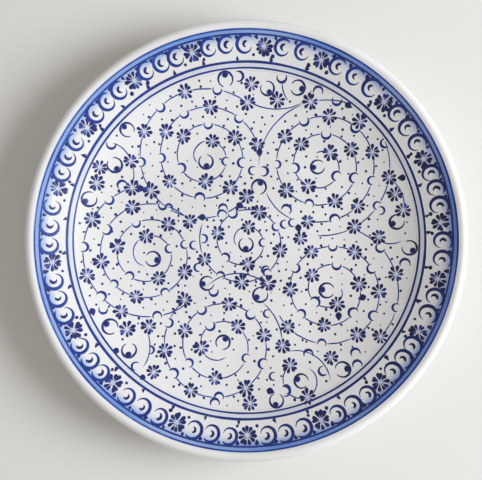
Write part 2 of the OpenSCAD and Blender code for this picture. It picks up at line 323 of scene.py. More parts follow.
def onFace(tree, geometry, shake):  # lifts a flat painting onto the face, with a hand's small tremor
    spot = tree.add("GeometryNodeInputPosition")
    tremor = tree.add(
        "ShaderNodeTexNoise", {},
        {"Vector": spot, "Scale": brush["tremorGrain"], "Detail": 2.0}, output=1)
    centred = tree.add("ShaderNodeVectorMath", {"operation": "SUBTRACT"}, [tremor, (0.5, 0.5, 0.5)])
    flat = tree.add("ShaderNodeVectorMath", {"operation": "MULTIPLY"}, [centred, (1.0, 1.0, 0.0)])
    offset = tree.add("ShaderNodeVectorMath", {"operation": "SCALE"}, {0: flat, "Scale": shake})
    shaken = tree.add("GeometryNodeSetPosition", {}, {"Geometry": geometry, "Offset": offset})
    x, y, z = place(tree)
    radius = (x * x + y * y).root()
    curve = plate["curveRadius"] * mm
    out = (radius - plate["floorRadius"] * mm).high(0.0).low((bendRadius - plate["floorRadius"]) * mm)
    height = (plate["floorHeight"] * mm + curve) - (curve * curve - out * out).root()
    height = height + (radius - bendRadius * mm).high(0.0) * math.tan(slope)
    return moved(tree, shaken, x, y, z + height + warpHeight(tree, x, y, radius))


# a closed bead of colour along a curve
def brushed(tree, curve, half, sides=brush["sides"], film=brush["film"], tone=1.0):
    curve = store(tree, curve, "tone", tone)
    tip = tree.add("GeometryNodeCurvePrimitiveCircle", {}, {"Resolution": sides, "Radius": 1.0})
    x, y, z = place(tree)
    tip = store(tree, tip, "across", x)
    tip = moved(tree, tip, x, y * film, z)
    upright = tree.add("GeometryNodeSetCurveNormal", {"mode": "Z_UP"}, {"Curve": curve})
    return tree.add(
        "GeometryNodeCurveToMesh", {}, {"Curve": upright, "Profile Curve": tip, "Scale": half})


def along(tree):
    return tree.add("GeometryNodeSplineParameter")


def closedTips(tree, geometry):
    return tree.add(
        "GeometryNodeMergeByDistance", {}, {"Geometry": geometry, "Distance": brush["tipGap"] * mm})


def arc(tree, radius, start, sweep, steps):
    return tree.add(
        "GeometryNodeCurveArc", {},
        {"Resolution": steps, "Radius": radius, "Start Angle": start, "Sweep Angle": sweep})


def line(tree, start, end, steps):
    bar = tree.add("GeometryNodeCurvePrimitiveLine", {}, {"Start": start, "End": end})
    return tree.add("GeometryNodeResampleCurve", {}, {"Curve": bar, "Count": steps})


def pigmented(tree, geometry):
    edge = 1 - named(tree, "across").size()
    lean = brush["evenLoad"] + brush["sideLoad"] * named(tree, "across")
    load = named(tree, "load") * named(tree, "tone") * lean
    return store(tree, geometry, "pigment", edge.share(0.0, brush["edgeFade"]) * load)


# materials

def newMaterial(name):
    material = bpy.data.materials.new(name)
    material.use_nodes = True
    material.node_tree.nodes.clear()
    tree = Tree(material.node_tree)
    return material, tree


def objectPlace(tree):
    return tree.add("ShaderNodeTexCoord", {}, (), output=3)


glaze = {
    "white": srgb(245, 245, 248),
    "cream": srgb(238, 237, 237),
    "cloudGrain": 22.0,
    "cloudStart": 0.4,
    "cloudFull": 0.75,
    "roughness": 0.2,
    "glossSpread": 0.08,
    "glossGrain": 60.0,
    "coat": 0.2,
    "ripple": 0.15,
    "rippleGrain": 90.0,
    "fineRipple": 0.4,
    "fineRippleGrain": 420.0,
}
cobalt = {  # watery at 0, thick at 1
    "royal": [
        (0.0, srgb(204, 220, 248)), (0.25, srgb(98, 150, 228)),
        (0.58, srgb(38, 68, 160)), (1.0, srgb(22, 27, 78))],
    "navy": [
        (0.0, srgb(200, 214, 246)), (0.25, srgb(96, 130, 214)),
        (0.58, srgb(42, 53, 126)), (1.0, srgb(17, 20, 56))],
}
shadeAndLoad = {  # the colour gets deeper from the plate's upper left to its lower right: partly painted shade, partly a heavier brush load
    "alongX": 0.9,
    "alongY": -0.15,
    "reach": 0.3,
    "middle": 0.55,
}
paint = {
    "mottle": 0.3,
    "mottleGrain": 900.0,
    "pool": 0.4,
    "poolGrain": 160.0,
    "wetness": 0.56,
    "dryness": 0.72,
    "wetGrain": 38.0,
    "depth": 0.56,
    "darker": 0.4,  # how much of the painted shade and heavier load towards the lower right the strokes take
    "opacity": 1.8,
    "royalStrength": 1.25,
    "navyStrength": 1.3,
}
wash = {
    "bands": [  # inner edge, inner full, outer full, outer edge in millimetres, and strength
        (116.5, 119.0, 121.6, 123.4, 0.2),
        (133.0, 139.0, 139.9, 140.8, 0.68),
        (139.6, 140.6, 142.8, 144.2, 0.85)],
    "patchGrain": 14.0,
    "patchLow": 0.55,
    "patchSpread": 0.9,
    "mostCover": 0.95,
    "depth": 0.17,
    # how much of the painted shade and heavier load towards the lower right the washes take
    "darker": 0.24,
}
clay = {
    "light": srgb(196, 170, 138),
    "dark": srgb(160, 128, 96),
    "fleckGrain": 600.0,
    "roughness": 0.78,
    "roughSpread": 0.15,
    "bump": 0.4,
}


def shading(tree, colour, roughness, coat, height, strength):
    bump = tree.add("ShaderNodeBump", {}, {"Strength": strength, "Distance": 0.4 * mm, "Height": height})
    shader = tree.add(
        "ShaderNodeBsdfPrincipled", {},
        {"Base Color": colour, "Roughness": roughness, "Coat Weight": coat,
         "Coat Roughness": 0.1, "Specular IOR Level": 0.35, "Normal": bump})
    tree.add("ShaderNodeOutputMaterial", {}, {"Surface": shader})


def glazeColour(tree, spot):
    cloud = grain(tree, spot, glaze["cloudGrain"], 3.0)
    creamy = cloud.share(glaze["cloudStart"], glaze["cloudFull"])
    return tree.mix(creamy, glaze["white"], glaze["cream"])


def glazeFinish(tree, spot, colour):
    fine = glaze["fineRipple"] * grain(tree, spot, glaze["fineRippleGrain"], 1.0)
    ripple = grain(tree, spot, glaze["rippleGrain"]) + fine
    roughness = glaze["roughness"] + glaze["glossSpread"] * grain(tree, spot, glaze["glossGrain"])
    shading(tree, colour, roughness, glaze["coat"], ripple, glaze["ripple"])


def lowerRight(tree, spot):  # 0 at the plate's upper left, 1 at its lower right, where the painted shade and the heavier load are deepest
    x, y, z = split(tree, spot)
    slant = x * shadeAndLoad["alongX"] + y * shadeAndLoad["alongY"]
    return (slant * (1 / shadeAndLoad["reach"]) + shadeAndLoad["middle"]).high(0.0).low(1.0)


def cobaltColour(tree, depth, kind):
    return tree.add("ShaderNodeValToRGB", {"stops": cobalt[kind]}, [depth])


def washedColour(tree, spot):  # glaze with the thin washes near the lines
    x, y, z = split(tree, spot)
    radius = (x * x + y * y).root()
    amount = None
    for inner, innerFull, outerFull, outer, strength in wash["bands"]:
        band = radius.share(inner * mm, innerFull * mm) * (1 - radius.share(outerFull * mm, outer * mm))
        amount = band * strength if amount is None else amount.high(band * strength)
    patch = wash["patchLow"] + wash["patchSpread"] * grain(tree, spot, wash["patchGrain"])
    amount = (amount * patch).low(wash["mostCover"])
    # washes deepen towards the lower right: partly painted shade, partly a heavier brush load
    depth = wash["depth"] + wash["darker"] * lowerRight(tree, spot)
    return tree.mix(amount, glazeColour(tree, spot), cobaltColour(tree, depth, "royal"))


def makeGlaze():
    material, tree = newMaterial("whiteGlaze")
    spot = objectPlace(tree)
    glazeFinish(tree, spot, glazeColour(tree, spot))
    return material


def makeWash():
    material, tree = newMaterial("thinCobaltWash")
    spot = objectPlace(tree)
    glazeFinish(tree, spot, washedColour(tree, spot))
    return material


def makePaint(name, kind, strength):
    material, tree = newMaterial(name)
    spot = objectPlace(tree)
    pigment = tree.add("ShaderNodeAttribute", {"attribute_name": "pigment"}, (), output=2)
    mottle = grain(tree, spot, paint["mottleGrain"]) - 0.5
    pool = grain(tree, spot, paint["poolGrain"]) - 0.5
    wetness = paint["dryness"] + paint["wetness"] * grain(tree, spot, paint["wetGrain"])
    cover = pigment * strength * wetness + mottle * paint["mottle"] * pigment
    cover = cover.high(0.0).low(1.0)
    # strokes deepen towards the lower right: partly painted shade, partly a heavier brush load
    depth = cover * (paint["depth"] + paint["darker"] * lowerRight(tree, spot)) + pool * paint["pool"]
    colour = tree.mix(
        (cover * paint["opacity"]).low(1.0), washedColour(tree, spot), cobaltColour(tree, depth, kind))
    glazeFinish(tree, spot, colour)
    return material


def makeClay():
    material, tree = newMaterial("buffBiscuit")
    fleck = grain(tree, objectPlace(tree), clay["fleckGrain"], 4.0)
    colour = tree.mix(fleck.share(0.35, 0.7), clay["light"], clay["dark"])
    shading(tree, colour, clay["roughness"] + clay["roughSpread"] * fleck, 0.0, fleck, clay["bump"])
    return material


glazeMaterial = makeGlaze()
washMaterial = makeWash()
royalMaterial = makePaint("royalCobalt", "royal", paint["royalStrength"])
navyMaterial = makePaint("navyCobalt", "navy", paint["navyStrength"])
clayMaterial = makeClay()
print("materials made")


# clay and glaze, thrown on the wheel

def thrown(name, stations, material, node):
    points = [(0, 0, i) for i in range(len(stations))]
    piece = newPiece(
        name, points, [(i, i + 1) for i in range(len(stations) - 1)],
        stationRadius=[r * mm for r, h in stations],
        stationHeight=[h * mm for r, h in stations])
    inputs = {"Facets": plate["turns"], "Material": material}
    nodeTree, tree, given = newTree(name, inputs)
    axis = tree.add("GeometryNodeMeshToCurve", {}, [given["Geometry"]])
    hoop = tree.add(
        "GeometryNodeCurvePrimitiveCircle", {}, {"Resolution": given["Facets"], "Radius": 1.0})
    wall = tree.add("GeometryNodeCurveToMesh", {}, {"Curve": axis, "Profile Curve": hoop, "Scale": 1.0})
    x, y, z = place(tree)
    out = named(tree, "stationRadius")
    spun = moved(tree, wall, x * out, y * out, named(tree, "stationHeight"))
    x, y, z = place(tree)
    warped = moved(tree, spun, x, y, z + warpHeight(tree, x, y, (x * x + y * y).root()))
    finishTree(tree, closedTips(tree, warped), given["Material"])
    plainMesh(piece, nodeTree, inputs)
    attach(piece, "root")
    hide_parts(node)


footInner = plate["footRadius"] - plate["footWidth"] - 2 * plate["footBevel"]
wellTop = wellHeight + plate["glazeThickness"]
footPoints = [
    (plate["footRadius"], plate["footBevel"]), (plate["footRadius"] - plate["footBevel"], 0),
    (footInner + plate["footBevel"], 0), (footInner, plate["footBevel"]),
    (footInner, wellTop), (0, wellTop)]
thrown("clayBody", skin(plate["glazeThickness"]) + footPoints, clayMaterial, "clay_body")
thrown("faceGlaze", skin(0) + skin(plate["glazeThickness"])[::-1], glazeMaterial, "face_glaze")
thrown("footWellGlaze", [(0, wellTop), (footInner, wellTop), (footInner, wellHeight), (0, wellHeight)],
       glazeMaterial, "foot_well_glaze")
print("plate thrown")


# lines and washes around the rim, painted on the turning wheel

rings = {
    "bandLineWidth": 1.0,
    "innerLineWidth": 1.2,
    "tremor": 0.15,
    "steps": 900,
    "swayGrain": 25.0,
    "widthSway": 0.7,
    "loadSway": 0.5,
}


def ringRadius(node):
    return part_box(node)[1].x / mm


rimLineRadius = ringRadius("rim_line")
rimWashRadius = ringRadius("rim_wash")
bandRadius = ringRadius("band_line")
outerLineRadius = ringRadius("ring_line_outer")
ringWashRadius = ringRadius("ring_wash")
innerLineRadius = ringRadius("ring_line_inner")
ringBands = {  # CAD node, inner radius, outer radius, load, how far the colour runs past the line
    "rimLine": ("rim_line", rimWashRadius, rimLineRadius, 0.72, 0.7),
    "bandLine": ("band_line", bandRadius - rings["bandLineWidth"], bandRadius, 0.85, 1.6),
    "ringLineOuter": ("ring_line_outer", ringWashRadius, outerLineRadius, 1.0, 1.1),
    "ringLineInner": (
        "ring_line_inner", innerLineRadius - rings["innerLineWidth"], innerLineRadius, 1.0, 1.35),
    "rimWash": ("rim_wash", bandRadius - 0.9, rimWashRadius + 2.0, 0.0, 1.0),
    "ringWash": ("ring_wash", innerLineRadius - 2.6, ringWashRadius + 2.0, 0.0, 1.0),
    "borderWash": (None, 133.8, bandRadius + 0.3, 0.0, 1.0),
}


def paintedRing(name, node, inner, outer, load, spread):
    isWash = load == 0.0
    inputs = {
        "Middle radius": (inner + outer) / 2 * mm, "Half width": (outer - inner) / 2 * mm,
        "Load": load, "Steps": rings["steps"], "Material": washMaterial if isWash else royalMaterial}
    piece = newPiece(name, [(0, 0, 0)])
    nodeTree, tree, given = newTree(name, inputs)
    hoop = tree.add(
        "GeometryNodeCurvePrimitiveCircle", {},
        {"Resolution": given["Steps"], "Radius": given["Middle radius"]})
    spot = tree.add("GeometryNodeInputPosition")
    sway = grain(tree, spot, rings["swayGrain"]) - 0.5
    if isWash:
        bead = brushed(tree, hoop, given["Half width"] * spread, brush["washSides"], brush["washFilm"])
    else:
        bead = brushed(tree, hoop, given["Half width"] * (spread + rings["widthSway"] * sway))
    bead = store(tree, bead, "load", given["Load"] * (1.0 + rings["loadSway"] * sway))
    bead = onFace(tree, pigmented(tree, bead), rings["tremor"] * mm)
    finishTree(tree, bead, given["Material"])
    plainMesh(piece, nodeTree, inputs)
    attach(piece, "root")
    if node:
        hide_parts(node)
    node or "rim_wash"


for name, band in ringBands.items():
    paintedRing(name, *band)
print("rings painted")


# where the painter puts things, in millimetres and degrees

painting = {
    "blossomRadius": 5.0,
    "hookRadius": 3.0,
    "budRadius": 5.2,
    "leafReach": 4.2,
    "blossomMargin": 1.6,  # how far dots keep off the other strokes
    "budMargin": 1.4,
    "hookMargin": 1.3,
    "leafMargin": 2.6,
    "stemMargin": 4.5,
    "rimMargin": 3.0,
    "borderRadius": 132.5,
    "wideGap": 18.0,  # border gaps over this many degrees hold three scrolls, the others two
    "turnGap": 12.0,  # between two turns of a spiral
    "blossomGap": 6.0,
    "dotPace": 7.0,
    "dotGap": 4.5,
    "dotDrift": 1.0,
    "fillPace": 7.5,
    "fillGap": 5.5,
    "fillDrift": 1.5,
    "shake": 0.35,
    "seed": 7,
}
borderBlossomAngles = [
    4.5, 24, 44.5, 67, 84.5, 106, 125, 145, 165,
    187, 208, 227.5, 249.5, 270.5, 292.5, 313, 331.5, 348]

# spiral stems that wind inwards: middle x, y, start and end angle, start and end radius, blossom angles
spirals = [
    (-28, 58, 14, 940, 37, 7, (14, 85, 148, 214, 309, 394, 498, 629, 788)),
    (52, 52, 257, 1190, 40, 9, (257, 312, 373, 440, 501, 576, 651, 747, 853, 958, 1134)),
    (-68, -10, 39, 976, 37, 8, (39, 109, 189, 254, 334, 417, 526, 653, 818)),
    (-1, -1, 156, 930, 32, 6, (204, 266, 346, 424, 522, 638, 795)),
    (-18, -73, 128, 1020, 40, 9, (128, 185, 237, 302, 373, 438, 517, 622, 767, 907)),
    (58, -35, 206, 1090, 39, 8, (221, 301, 358, 417, 475, 539, 620, 732, 858, 1019)),
    (38, -97, 126, 420, 13, 10, (126, 290))]
branches = [
    (-29, 57, 52, 318, 49, 40, (52, 106, 156, 211, 257, 318)),
    (53, 50, 265, 385, 47, 46, (299, 351)),
    (53, 50, 424, 540, 47, 44, (460,)),
    (-66, -10, 87, 309, 49, 42, (87, 106, 149, 199, 243, 309)),
    (59, -36, 317, 429, 45, 46, (317, 375, 429)),
    (2, -52, 40, 150, 21, 36, ()),
    (22, 130, 236, 300, 39, 39, ()),
    (45, 112, 190, 225, 20, 22, ()),
    (45, 45, 200, 250, 33, 33, ()),
    (-95, 52, 20, 80, 15, 15, ()),
    (-95, 46, -22, 22, 17, 17, ()),
    (85, 25, -10, 48, 24, 22, ()),
    (100, 12, 230, 300, 15, 15, ()),
    (-90, -74, -36, 34, 24, 24, ()),
    (-12, -72, 2, 52, 37, 37, ()),
    (36, -100, 8, 112, 22, 24, ())]
singleBlossoms = [
    (-101, 50), (-80, 55), (-103, 39), (4, 108), (22, 97), (79, 81), (92, 2), (103, 31), (108, 20),
    (3, -112), (-82, -62), (-67, -60), (-63, -91), (58, -81), (25, -73), (38, 1), (15, -30)]
singleLeaves = [  # x, y, direction
    (-31, 16, 0), (-73, 36, 170), (107, 42, 0), (-105, -50, 110), (-89, -77, 60), (-70, -95, 140),
    (17, -104, 160), (71, 92, 145), (80, -40, 20), (-4, 24, 150), (64, -53, 90), (36.5, 8, 100),
    (9.5, 61, 92)]
buds = [  # x, y, direction of the heart
    (-28, 55, 280), (50, 51, 190), (-65, -13, 345), (0, -3, 270), (-16, -71, 55), (56, -35, 170),
    (38, -97, 155), (-82, 76, 135), (-91, 52, 300), (-108, 28, 215), (-14, 111, 95), (15, 105, 300),
    (36, 105, 345), (9, 37, 70), (104, 12, 205), (112, -6, 320), (-27, -30, 190), (10, -38, 215),
    (-80, -76, 265), (-93, -60, 145), (21, -110, 260), (66, -89, 10)]
singleHooks = [  # x, y, direction of the bulge
    (12, 48, 0), (96, 66, 200), (63, 96, 257), (-93, 66, 260), (-86, 38, 110), (-5, 113, 0),
    (25, 112, 270), (50, 102, 80), (93, 20, 0), (-30, 1, 0), (109, -17, 90), (75, -78, 100),
    (76, -86, 90), (19, -94, 180), (27, -104, 0), (-21, -112, 90), (-66, -76, 0), (-75, -87, 160),
    (14, -21, 150), (27, 11, 180), (28, 21, 60), (-16, 22, 90), (43, -79, 90), (53, -90, 200),
    (15, -51, 180), (-33, -19, 170), (5, 48.5, 170), (32.5, 12, 180), (-36, -3.5, 180),
    (-22.5, -35.5, 270), (-98, -48, 260)]


def polar(radius, angle):
    return radius * math.cos(math.radians(angle)), radius * math.sin(math.radians(angle))


def stemRadius(stem, angle):
    return stem[4] + (stem[5] - stem[4]) * (angle - stem[2]) / (stem[3] - stem[2])


def stemPoint(stem, angle, out=0.0):
    x, y = polar(stemRadius(stem, angle) + out, angle)
    return stem[0] + x, stem[1] + y


def hookAngles(stem):
    return [(a + b) / 2 for a, b in zip(stem[6], stem[6][1:])]


def leafAngles(stem):
    return [a + part * (b - a) for a, b in zip(stem[6], stem[6][1:]) for part in (0.25, 0.75)]


def near(point, spots, reach):
    return any(math.dist(point, spot[:2]) < reach for spot in spots)


def thinned(spots, gap):
    return [spot for i, spot in enumerate(spots) if not near(spot, spots[:i], gap)]


def paceAngles(stem):
    angles = []
    angle = stem[2]
    while angle < stem[3]:
        angles.append(angle)
        angle += math.degrees(painting["dotPace"] / stemRadius(stem, angle))
    return angles


stems = spirals + branches
stemBlossoms = [stemPoint(stem, a) for stem in stems for a in stem[6]]
blossomSpots = thinned(stemBlossoms + singleBlossoms, painting["blossomGap"])
hookSpots = [stemPoint(stem, a) for stem in stems for a in hookAngles(stem)] + singleHooks
leafSpots = [stemPoint(stem, a) for stem in stems for a in leafAngles(stem)]
fieldRadius = innerLineRadius - rings["innerLineWidth"] - painting["rimMargin"]


def isFree(point):
    return (
        math.hypot(*point) < fieldRadius
        and not near(point, blossomSpots, painting["blossomRadius"] + painting["blossomMargin"])
        and not near(point, buds, painting["budRadius"] + painting["budMargin"])
        and not near(point, hookSpots, painting["hookRadius"] + painting["hookMargin"])
        and not near(point, singleLeaves, painting["leafReach"]))


def channelPoint(stem, angle):  # halfway to the next turn of a spiral, a little off true
    drift = painting["dotDrift"] * math.sin(math.radians(37 * angle))
    return stemPoint(stem, angle, painting["turnGap"] / 2 + drift)


channelDots = [
    point for stem in stems for point in (channelPoint(stem, a) for a in paceAngles(stem))
    if isFree(point) and not near(point, leafSpots, painting["leafMargin"])]
channelDots = thinned(channelDots, painting["dotGap"])
stemSpots = [stemPoint(stem, a) for stem in stems for a in paceAngles(stem)]
fillSteps = int(2 * fieldRadius / painting["fillPace"]) + 1
fillDots = []
for column in range(fillSteps):
    for row in range(fillSteps):
        x = column * painting["fillPace"] - fieldRadius
        y = row * painting["fillPace"] - fieldRadius
        point = (
            x + painting["fillDrift"] * math.sin(math.radians(41 * y)),
            y + painting["fillDrift"] * math.sin(math.radians(29 * x)))
        isAlone = not near(point, channelDots, painting["fillGap"])
        if isFree(point) and isAlone and not near(point, stemSpots, painting["stemMargin"]):
            fillDots.append(point)


def borderGaps():
    later = borderBlossomAngles[1:] + [borderBlossomAngles[0] + 360]
    for angle, after in zip(borderBlossomAngles, later):
        count = 3 if after - angle > painting["wideGap"] else 2
        yield angle, (after - angle) / (count + 1), count


scrollAngles = [a + pitch * (k + 1) for a, pitch, count in borderGaps() for k in range(count)]
betweenAngles = [a + pitch * (k + 0.5) for a, pitch, count in borderGaps() for k in range(count + 1)]


# brush strokes that repeat

variety = {  # how much the petals of one blossom differ
    "load": 0.86,
    "heavySide": 0.24,
    "loadSpread": 0.14,
    "heavySize": 0.06,
    "sizeSpread": 0.1,
    "turnSpread": 0.13,
}


def chance(tree, seed):
    return tree.add("FunctionNodeRandomValue", {}, {2: -1.0, 3: 1.0, 8: seed}, output=1)


def flatScale(tree, size):
    return tree.add("ShaderNodeCombineXYZ", {}, [size, size, 1.0])


def repeated(name, node, spots, inputs, shape, material=navyMaterial, copies=1, under=None):
    # each spot is x, y, turn in degrees, size and load
    inputs = {
        **inputs, "Shake": painting["shake"] * mm, "Seed": painting["seed"], "Material": material}
    piece = newPiece(
        name, [(s[0], s[1], 0) for s in spots], turn=[math.radians(s[2]) for s in spots],
        size=[s[3] for s in spots], load=[s[4] for s in spots])
    nodeTree, tree, given = newTree(name, inputs)
    points = tree.add("GeometryNodeMeshToPoints", {}, {"Mesh": given["Geometry"], "Radius": 0.0})
    turn = named(tree, "turn")
    size = named(tree, "size")
    load = named(tree, "load")
    pools = None
    if under:  # a thin pool of colour that the strokes stand in
        pools = tree.add(
            "GeometryNodeInstanceOnPoints", {},
            {"Points": points, "Instance": closedTips(tree, under(tree, given)),
             "Scale": flatScale(tree, size)})
    if copies > 1:
        points = tree.add(
            "GeometryNodeDuplicateElements", {"domain": "POINT"}, {"Geometry": points, "Amount": copies})
        step = points["Duplicate Index"] * (2 * math.pi / copies)
        loose = chance(tree, given["Seed"])
        longer = chance(tree, given["Seed"] + 1)
        heavy = (step + turn * 3.0).sine()  # one side of a blossom is painted with more colour
        colour = variety["load"] + variety["heavySide"] * heavy + variety["loadSpread"] * longer
        growth = 1.0 + variety["sizeSpread"] * longer + variety["heavySize"] * heavy
        points = store(tree, points, "load", load * colour)
        points = store(tree, points, "size", size * growth)
        points = store(tree, points, "turn", turn + step + variety["turnSpread"] * loose)
    rotation = tree.add("ShaderNodeCombineXYZ", {}, [0.0, 0.0, turn])
    laid = tree.add(
        "GeometryNodeInstanceOnPoints", {},
        {"Points": points, "Instance": closedTips(tree, shape(tree, given)),
         "Rotation": rotation, "Scale": flatScale(tree, size)})
    strokes = tree.join(laid, pools) if under else laid
    solid = tree.add("GeometryNodeRealizeInstances", {}, {"Geometry": strokes})
    finishTree(tree, onFace(tree, pigmented(tree, solid), given["Shake"]), given["Material"])
    plainMesh(piece, nodeTree, inputs)
    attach(piece, "root")
    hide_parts(node)


# 0 at both ends of a stroke and 1 between them
# a power under 1 makes the ends blunter, and a lean over 1 moves the peak towards the end
def swell(tree, power=1.0, lean=1.0):
    return (along(tree) ** lean * math.pi).sine().high(0.0) ** power


def full(tree, steepness):  # 1 along a stroke, falling to 0 at its very ends
    return (along(tree) * (1 - along(tree)) * steepness).low(1.0)


def pressed(tree, stroke):  # an even line and a swelling where the brush is pressed
    even = stroke["even"] * swell(tree, stroke["evenPower"])
    return even + stroke["swelling"] * swell(tree, stroke["power"], stroke["lean"])


random.seed(painting["seed"])


def about(middle, reach):
    return middle + random.uniform(-reach, reach)


def sized(stroke):
    return about(*stroke["size"]), about(*stroke["load"])


def inBorder(angle, radius):
    return polar(radius, angle)


petal = {
    "start": 0.7,
    "end": 5.2,
    "lean": 2.1,
    "power": 0.6,
    "stalk": 0.36,  # half width where it is thinnest
    "stalkEnds": 20.0,
    "tone": 0.9,
    "tipTone": 0.25,
    "poolRadius": 2.7,
    "poolPower": 0.5,
    "poolFilm": 0.006,
    "poolTone": 0.19,
}


def petalShape(tree, given):
    bar = line(tree, (petal["start"] * mm, 0.0, 0.0), (petal["end"] * mm, 0.0, 0.0), 8)
    half = given["Petal width"] / 2 * swell(tree, petal["power"], petal["lean"])
    half = half.high(petal["stalk"] * mm * full(tree, petal["stalkEnds"]))
    return brushed(tree, bar, half, tone=petal["tone"] + petal["tipTone"] * along(tree))


def poolShape(tree, given):
    radius = petal["poolRadius"] * mm
    bar = line(tree, (-radius, 0.0, 0.0), (radius, 0.0, 0.0), 8)
    half = radius * swell(tree, petal["poolPower"])
    return brushed(tree, bar, half, 12, petal["poolFilm"], petal["poolTone"])


fieldBlossom = {
    "inputs": {"Petal width": 2.3 * mm},
    "petals": 9,
    "size": (1.08, 0.07),
    "load": (1.0, 0.12),
}
repeated(
    "fieldBlossoms", "field_blossoms",
    [(*spot, about(0, 180), *sized(fieldBlossom)) for spot in blossomSpots],
    fieldBlossom["inputs"], petalShape, copies=fieldBlossom["petals"], under=poolShape)

borderBlossom = {
    "inputs": {"Petal width": 2.3 * mm},
    "petals": 11,
    "size": (1.2, 0.06),
    "load": (1.05, 0.08),
}
repeated(
    "borderBlossoms", "border_blossoms",
    [(*inBorder(a, painting["borderRadius"]), about(0, 180), *sized(borderBlossom))
     for a in borderBlossomAngles],
    borderBlossom["inputs"], petalShape, copies=borderBlossom["petals"], under=poolShape)

hook = {
    "inputs": {"Radius": painting["hookRadius"] * mm, "Brush width": 2.0 * mm},
    "start": -2.1,
    "sweep": 4.2,
    "even": 0.52,  # share of the width that barely tapers
    "evenPower": 0.3,
    "swelling": 0.48,
    "power": 1.8,
    "lean": 1.25,
    "tone": 0.85,
    "endTone": 0.3,
    "size": (1.0, 0.12),
    "load": (1.0, 0.2),
}


def hookShape(tree, given):
    bow = arc(tree, given["Radius"], hook["start"], hook["sweep"], 17)
    half = given["Brush width"] / 2 * pressed(tree, hook)
    return brushed(tree, bow, half, tone=hook["tone"] + hook["endTone"] * along(tree))


hooks = [(*stemPoint(stem, a), a + 180) for stem in stems for a in hookAngles(stem)] + singleHooks
repeated(
    "fieldCrescents", "field_crescents", [(*spot, *sized(hook)) for spot in hooks],
    hook["inputs"], hookShape, royalMaterial)

leaf = {
    "inputs": {"Half width": 0.78 * mm},
    "reach": 1.0,
    "power": 0.8,
    "lean": 1.4,
    "offStem": 1.3,
    "turn": 35,
    "size": (1.25, 0.25),
    "load": (1.0, 0.1),
    "longSize": 3.2,
}


def leafShape(tree, given):
    bar = line(tree, (-leaf["reach"] * mm, 0.0, 0.0), (leaf["reach"] * mm, 0.0, 0.0), 7)
    return brushed(tree, bar, given["Half width"] * swell(tree, leaf["power"], leaf["lean"]))


leaves = [
    (*stemPoint(stem, a, leaf["offStem"]), a + about(leaf["turn"], leaf["turn"]), *sized(leaf))
    for stem in stems for a in leafAngles(stem)]
leaves += [(*spot, leaf["longSize"], 1.0) for spot in singleLeaves]
repeated("fieldLeaves", "field_leaves", leaves, leaf["inputs"], leafShape)

bud = {
    "inputs": {"Radius": 4.8 * mm, "Heart radius": 2.4 * mm},
    "start": -2.75,
    "sweep": 5.7,
    "thin": 0.42,
    "thicker": 0.55,  # what the ring gains beside the heart
    "ringEnds": 18.0,
    "tone": 0.85,
    "heartTone": 0.25,
    "heartStart": 0.9,
    "heartEnd": 5.0,
    "heartPower": 0.55,
    "size": (1.0, 0.05),
    "load": (0.95, 0.08),
}


def budShape(tree, given):
    bow = arc(tree, given["Radius"], bud["start"], bud["sweep"], 29)
    nearHeart = swell(tree)
    half = bud["thin"] * mm + bud["thicker"] * mm * nearHeart ** 2.0
    ring = brushed(
        tree, bow, half * full(tree, bud["ringEnds"]), tone=bud["tone"] + bud["heartTone"] * nearHeart)
    bar = line(tree, (bud["heartStart"] * mm, 0.0, 0.0), (bud["heartEnd"] * mm, 0.0, 0.0), 9)
    heart = brushed(tree, bar, given["Heart radius"] * swell(tree, bud["heartPower"]), 12)
    return tree.join(ring, heart)


repeated("fieldBuds", "field_buds", [(*spot, *sized(bud)) for spot in buds], bud["inputs"], budShape)

dot = {
    "inputs": {"Half width": 0.85 * mm},
    "reach": 0.8,
    "power": 0.6,
    "size": (1.0, 0.32),
    "load": (0.92, 0.2),
    "borderSize": (1.6, 0.35),
    "borderLoad": 1.1,
    "borderSides": (-3, 3),  # degrees to each side of a border blossom
    "borderHeight": 3.6,
}


def dotShape(tree, given):
    bar = line(tree, (-dot["reach"] * mm, 0.0, 0.0), (dot["reach"] * mm, 0.0, 0.0), 6)
    return brushed(tree, bar, given["Half width"] * swell(tree, dot["power"]))


repeated(
    "fieldDots", "field_dots",
    [(*spot, about(0, 180), *sized(dot)) for spot in channelDots + fillDots], dot["inputs"], dotShape)
repeated(
    "borderDots", "border_dots",
    [(*inBorder(a + side, outerLineRadius + dot["borderHeight"]), about(0, 180),
      about(*dot["borderSize"]), dot["borderLoad"])
     for a in borderBlossomAngles for side in dot["borderSides"]],
    dot["inputs"], dotShape)

scroll = {
    "inputs": {"Radius": 5.7 * mm, "Brush width": 2.75 * mm},
    "radius": painting["borderRadius"] + 0.8,
    "start": 0.3,
    "sweep": 5.75,
    "open": 1.03,
    "windsIn": 0.3,  # share of its radius that a scroll loses by its end
    "windPower": 3.5,
    "even": 0.4,
    "evenPower": 0.4,
    "swelling": 0.6,
    "power": 1.3,
    "lean": 0.8,
    "tone": 0.85,
    "endTone": 0.15,
    "stray": 0.3,
    "size": (1.0, 0.06),
    "load": (1.02, 0.18),
}


def scrollShape(tree, given):
    bow = arc(tree, given["Radius"], scroll["start"], scroll["sweep"], 35)
    x, y, z = place(tree)
    inwards = scroll["open"] - scroll["windsIn"] * along(tree) ** scroll["windPower"]
    bow = moved(tree, bow, x * inwards, y * inwards, z)
    half = given["Brush width"] / 2 * pressed(tree, scroll)
    return brushed(tree, bow, half, tone=scroll["tone"] + scroll["endTone"] * along(tree))


repeated(
    "borderScrolls", "border_scrolls",
    [(*inBorder(about(a, scroll["stray"]), about(scroll["radius"], scroll["stray"])), a - 90,
      *sized(scroll)) for a in scrollAngles],
    scroll["inputs"], scrollShape, royalMaterial)

comma = {
    "inputs": {"Radius": 1.9 * mm, "Brush width": 2.3 * mm},
    "start": 0.9,
    "sweep": 4.0,
    "sideways": 0.3,
    "upwards": 0.2,
    "power": 0.9,
    "lean": 0.85,
    "turn": 15,
    "size": (1.0, 0.12),
    "load": (0.98, 0.1),
}


